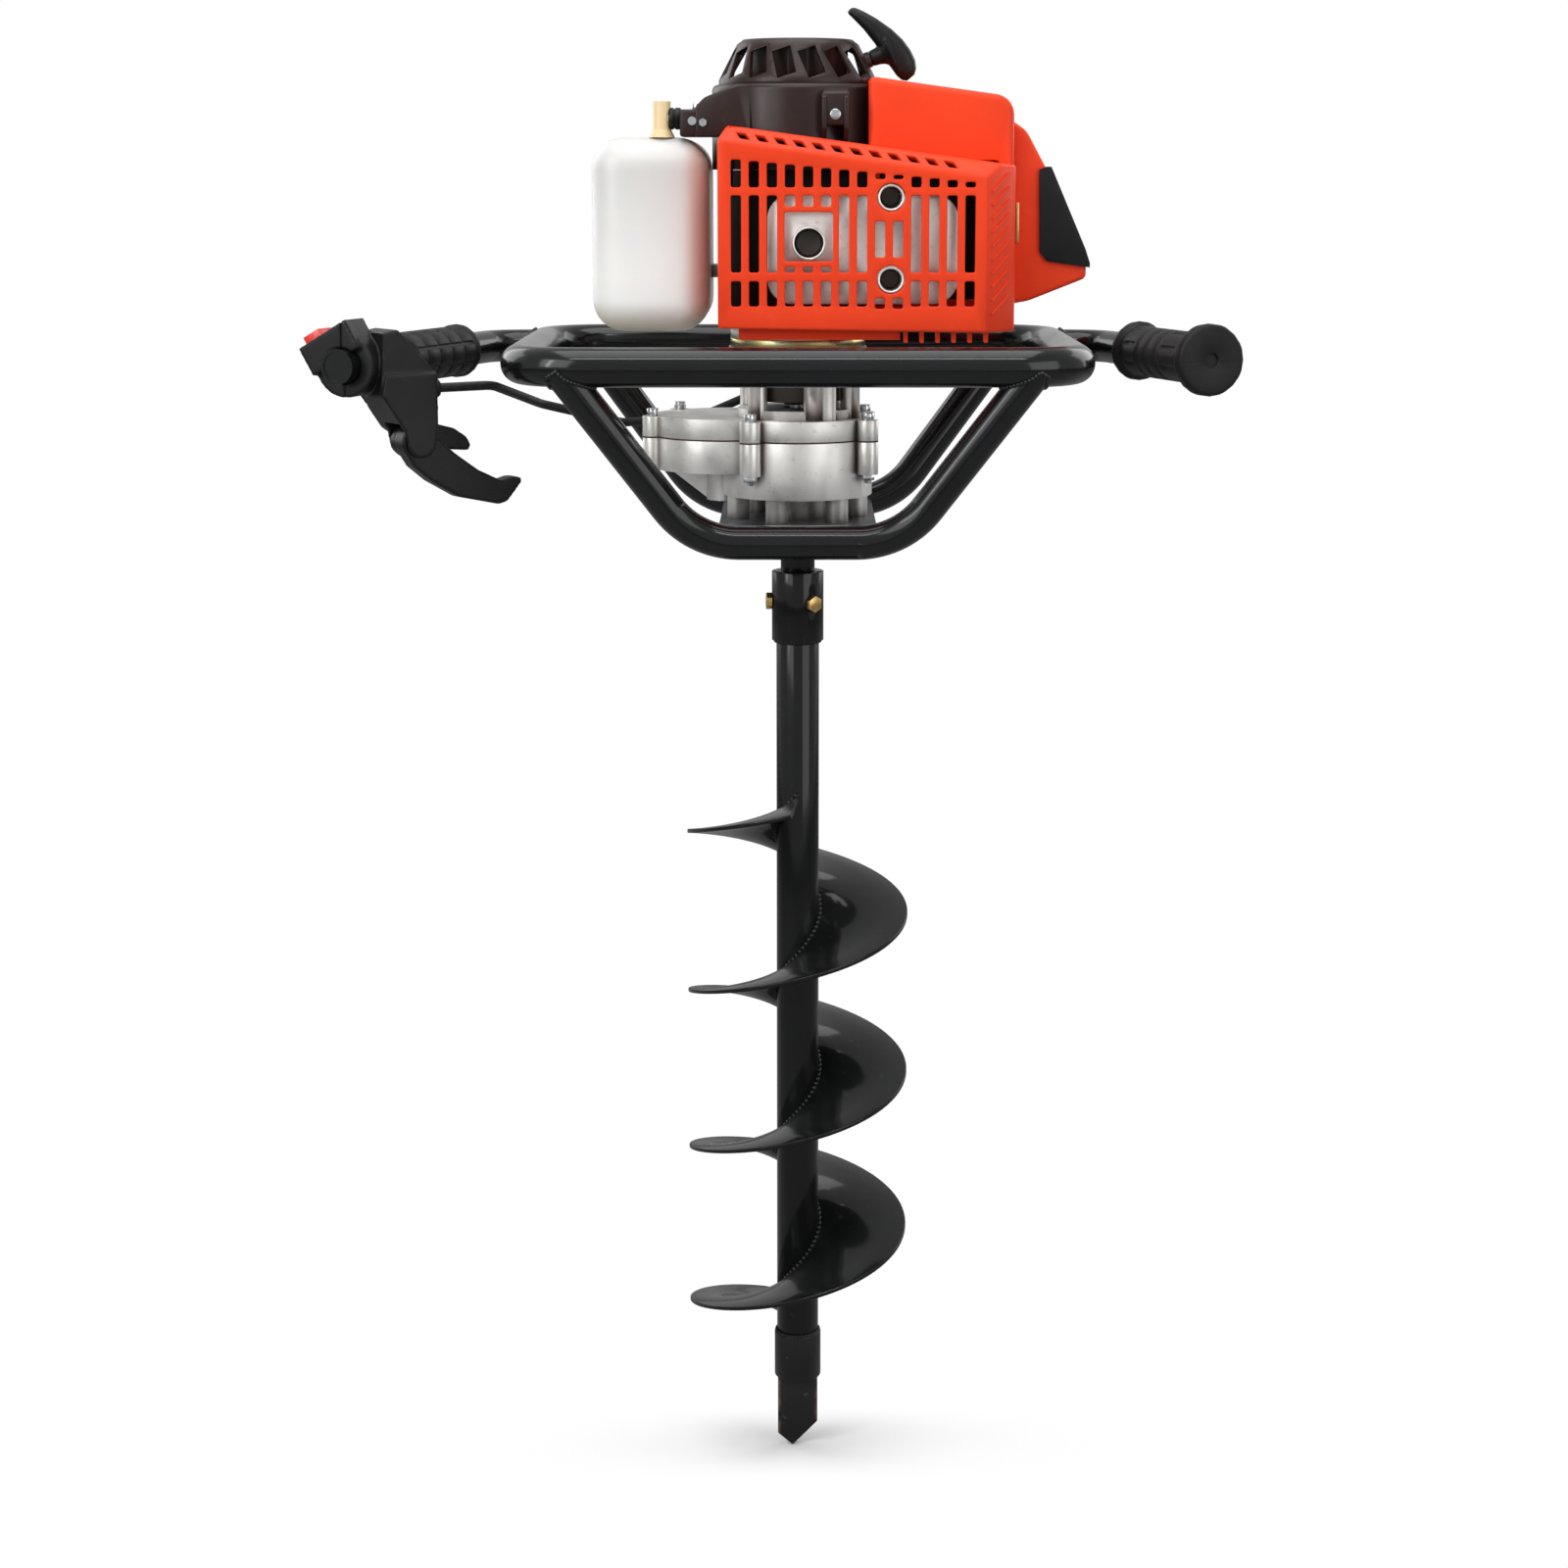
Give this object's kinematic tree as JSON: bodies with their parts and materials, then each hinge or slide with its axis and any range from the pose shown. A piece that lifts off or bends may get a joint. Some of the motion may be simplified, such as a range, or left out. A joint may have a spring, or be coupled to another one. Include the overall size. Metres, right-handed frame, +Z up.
{
  "type": "earth auger",
  "caption": "Petrol earth auger with a screw bit, reduction gearbox and small engine in a welded tube frame with two handles, a throttle trigger and a pull starter.",
  "frame": {"origin": "the bit's lowest point, on the bit's axis", "axes": "+Z up along the bit, +X to the right seen from the front, +Y away from the front"},
  "size_m": [0.6048, 0.291, 1.0036],
  "materials": {
    "frame_paint": "gloss",
    "bit_paint": "satin",
    "plate_paint": "satin",
    "cast_alloy": "cast",
    "machined_steel": "machined",
    "zinc_bolt": "zinc plated",
    "brass_bolt": "plated",
    "yellow_zinc": "yellow zinc plated",
    "gasket_paper": "matte",
    "orange_plastic": "gloss",
    "dark_plastic": "satin",
    "black_plastic": "satin",
    "tank_plastic": "milky",
    "grommet_rubber": "satin",
    "grip_rubber": "matte",
    "red_plastic": "gloss",
    "muffler_steel": "satin",
    "plug_ceramic": "glazed",
    "cable_sleeve": "satin",
    "rope_cord": "braided"
  },
  "bodies": {
    "machine": {"frame_hoop": "frame_paint", "front_leg": "frame_paint", "rear_leg": "frame_paint", "base_plate": "plate_paint", "base_bolts": "zinc_bolt", "left_handle_tube": "frame_paint", "right_handle_tube": "frame_paint", "right_grip": "grip_rubber", "left_grip": "grip_rubber", "gearbox_lower_case": "cast_alloy", "gearbox_gasket": "gasket_paper", "gearbox_upper_case": "cast_alloy", "gearbox_bolts": "zinc_bolt", "gearbox_bearings": "machined_steel", "clutch_housing": "cast_alloy", "mount_plate": "yellow_zinc", "crankcase_lower": "cast_alloy", "crankcase_upper": "cast_alloy", "engine_cylinder": "cast_alloy", "spark_plug": "plug_ceramic", "cylinder_cover": "orange_plastic", "plug_cover": "black_plastic", "muffler": "muffler_steel", "muffler_guard": "orange_plastic", "cover_screws": "zinc_bolt", "fan_shroud": "dark_plastic", "starter_cover": "dark_plastic", "fuel_tank": "tank_plastic", "fuel_grommet": "grommet_rubber", "carburettor": "cast_alloy", "air_filter_cover": "black_plastic", "control_shell_inner": "black_plastic", "control_shell_outer": "black_plastic", "throttle_cable": "cable_sleeve"},
    "bit": {"tip_blade": "bit_paint", "tip_collar": "bit_paint", "auger_tube": "bit_paint", "flighting": "bit_paint", "drive_sleeve": "bit_paint", "sleeve_bolts": "brass_bolt", "output_shaft": "machined_steel", "output_gear": "machined_steel"},
    "layshaft_body": {"layshaft": "machined_steel", "layshaft_gear": "machined_steel"},
    "input_body": {"input_shaft": "machined_steel", "clutch_drum": "machined_steel"},
    "crank": {"crankshaft": "machined_steel", "clutch_shoes": "machined_steel", "flywheel": "cast_alloy"},
    "piston_body": {"piston": "cast_alloy", "connecting_rod": "machined_steel"},
    "reel": {"starter_reel": "black_plastic"},
    "pull": {"starter_handle": "black_plastic", "starter_rope": "rope_cord"},
    "trigger": {"throttle_trigger": "black_plastic"},
    "lock": {"trigger_lock": "black_plastic"},
    "switch": {"stop_switch": "red_plastic"},
    "button": {"half_throttle_button": "red_plastic"},
    "choke": {"choke_lever": "black_plastic"},
    "cap": {"filler_cap": "black_plastic"}
  },
  "joints": [
    {"name": "auger_spin", "type": "hinge", "parent": "machine", "child": "bit", "pos_m": [0, 0, 0.6], "axis": [0, 0, 1], "continuous": true},
    {"name": "layshaft_spin", "type": "hinge", "parent": "machine", "child": "layshaft_body", "pos_m": [-0.04802, 0.01719, 0.7], "axis": [0, 0, 1], "continuous": true},
    {"name": "input_spin", "type": "hinge", "parent": "machine", "child": "input_body", "pos_m": [0, 0, 0.71], "axis": [0, 0, 1], "continuous": true},
    {"name": "crank_spin", "type": "hinge", "parent": "machine", "child": "crank", "pos_m": [0, 0, 0.85], "axis": [0, 0, 1], "continuous": true},
    {"name": "piston_slide", "type": "slide", "parent": "machine", "child": "piston_body", "axis": [1, 0, 0], "range_m": [-0.016, 0.016]},
    {"name": "starter_pull", "type": "slide", "parent": "machine", "child": "pull", "axis": [0.93, 0, 0.3676], "range_m": [0, 0.6], "stiffness_N_per_m": 20, "springref_m": -0.2, "deforming": ["starter_rope"]},
    {"name": "reel_spin", "type": "hinge", "parent": "machine", "child": "reel", "pos_m": [0, 0, 0.934], "axis": [0, 0, 1], "range_deg": [0, 1310]},
    {"name": "trigger_squeeze", "type": "hinge", "parent": "machine", "child": "trigger", "pos_m": [-0.24545, -0.09567, 0.727], "axis": [0.5736, -0.8192, 0], "range_deg": [0, 22], "stiffness_Nm_per_rad": 0.3, "springref_deg": -11.46},
    {"name": "lock_squeeze", "type": "hinge", "parent": "machine", "child": "lock", "pos_m": [-0.24545, -0.09567, 0.727], "axis": [0.5736, -0.8192, 0], "range_deg": [0, 8], "stiffness_Nm_per_rad": 0.2, "springref_deg": -11.46},
    {"name": "stop_switch_rock", "type": "hinge", "parent": "machine", "child": "switch", "pos_m": [-0.29872, -0.10333, 0.78719], "axis": [0.8164, -0.2891, 0.5], "range_deg": [-10, 10]},
    {"name": "button_press", "type": "slide", "parent": "machine", "child": "button", "axis": [-0.8192, -0.5736, 0], "range_m": [0, 0.004], "stiffness_N_per_m": 300, "springref_m": -0.002},
    {"name": "choke_turn", "type": "hinge", "parent": "machine", "child": "choke", "pos_m": [0.1084, 0.084, 0.866], "axis": [1, 0, 0], "range_deg": [0, 60]},
    {"name": "filler_cap_turn", "type": "hinge", "parent": "machine", "child": "cap", "pos_m": [-0.0955, 0.0635, 0.8846], "axis": [0, 1, 0], "range_deg": [0, 360]}
  ],
  "couplings": [
    {"joint": "layshaft_spin", "follows": "auger_spin", "ratio": -5.8},
    {"joint": "input_spin", "follows": "auger_spin", "ratio": 33.64},
    {"joint": "reel_spin", "follows": "starter_pull", "rad_per_m": 38}
  ]
}
